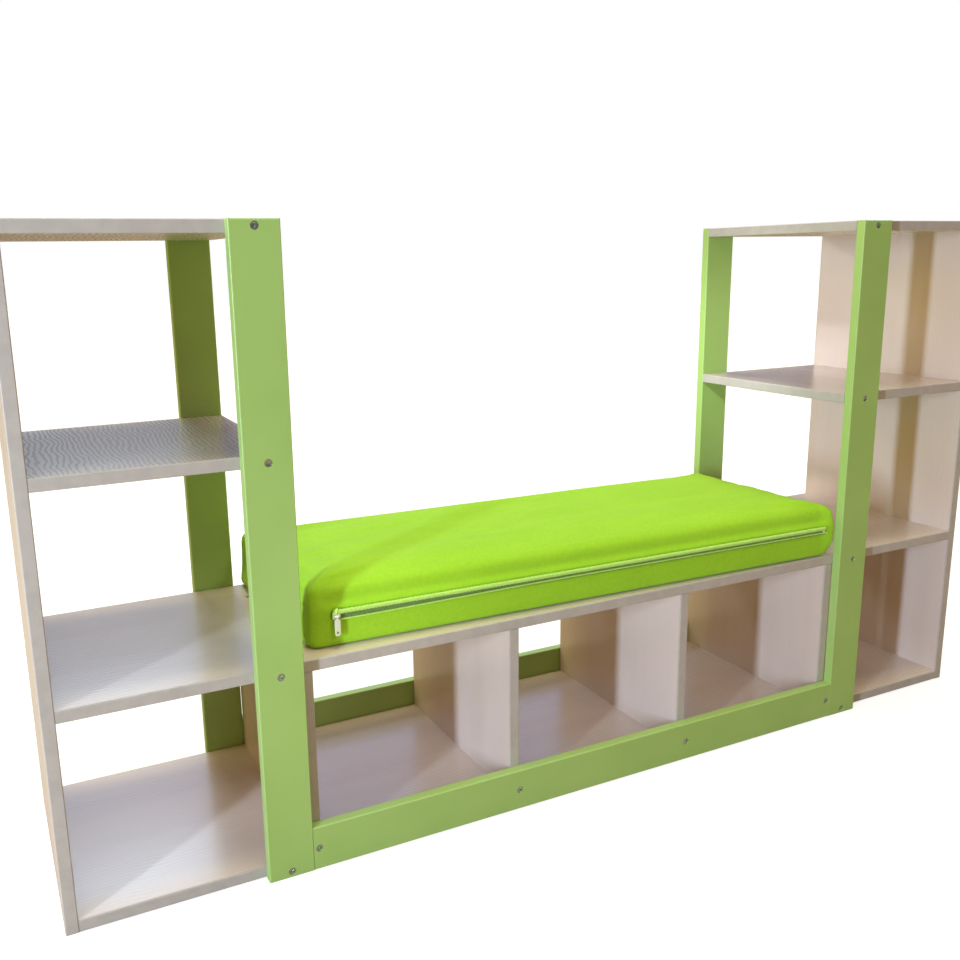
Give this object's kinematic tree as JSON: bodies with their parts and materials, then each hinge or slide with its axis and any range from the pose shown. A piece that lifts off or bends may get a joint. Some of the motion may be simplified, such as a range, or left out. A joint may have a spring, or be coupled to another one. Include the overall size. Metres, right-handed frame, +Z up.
{
  "type": "cube storage bench",
  "caption": "Low row of open cubes with a zip-cover seat cushion between two open shelf towers, with coloured posts and floor rails.",
  "frame": {"origin": "on the floor at the middle of the footprint", "axes": "+X along the bench to the right as seen from the front, the front with the zip faces -Y, +Z up"},
  "size_m": [1.58, 0.38, 0.85],
  "materials": {
    "oak_board": "satin",
    "oak_edging": "satin",
    "green_board": "satin",
    "green_edging": "satin",
    "screw_zinc": "satin",
    "cover_cloth": "satin",
    "foam": "matte",
    "zip_tape": "matte",
    "zip_coil": "satin",
    "zip_metal": "satin"
  },
  "bodies": {
    "unit": {"left_side_panel": "oak_board", "right_side_panel": "oak_board", "left_top_board": "oak_board", "right_top_board": "oak_board", "left_upper_shelf": "oak_board", "right_upper_shelf": "oak_board", "seat_board": "oak_board", "base_board": "oak_board", "left_end_panel": "oak_board", "right_end_panel": "oak_board", "left_divider": "oak_board", "right_divider": "oak_board", "left_front_post": "green_board", "right_front_post": "green_board", "left_rear_post": "green_board", "right_rear_post": "green_board", "front_rail": "green_board", "rear_rail": "green_board", "left_side_panel_edging": "oak_edging", "right_side_panel_edging": "oak_edging", "left_top_board_edging": "oak_edging", "right_top_board_edging": "oak_edging", "left_upper_shelf_edging": "oak_edging", "right_upper_shelf_edging": "oak_edging", "seat_board_edging": "oak_edging", "base_board_edging": "oak_edging", "left_end_panel_edging": "oak_edging", "right_end_panel_edging": "oak_edging", "left_divider_edging": "oak_edging", "right_divider_edging": "oak_edging", "left_front_post_edging": "green_edging", "right_front_post_edging": "green_edging", "left_rear_post_edging": "green_edging", "right_rear_post_edging": "green_edging", "front_rail_edging": "green_edging", "rear_rail_edging": "green_edging", "left_side_screws": "screw_zinc", "right_side_screws": "screw_zinc", "left_post_screws": "screw_zinc", "right_post_screws": "screw_zinc", "rail_screws": "screw_zinc", "seat_screws": "screw_zinc", "base_screws": "screw_zinc"},
    "cushion": {"cushion_cover": "cover_cloth", "cushion_foam": "foam", "zip_tapes": "zip_tape", "zip_coil": "zip_coil", "zip_stops": "zip_metal"},
    "slider": {"zip_slider": "zip_metal"},
    "tab": {"pull_tab": "zip_metal"}
  },
  "joints": [
    {"name": "cushion_lift", "type": "slide", "parent": "unit", "child": "cushion", "axis": [0, 0, 1], "range_m": [0, 0.6]},
    {"name": "zip_run", "type": "slide", "parent": "cushion", "child": "slider", "axis": [0.9996, -0.0279, 0], "range_m": [0, 0.85]},
    {"name": "tab_swing", "type": "hinge", "parent": "slider", "child": "tab", "pos_m": [-0.4172, -0.1568, 0.34], "axis": [-0.9996, 0.0279, 0], "range_deg": [0, 170]}
  ]
}
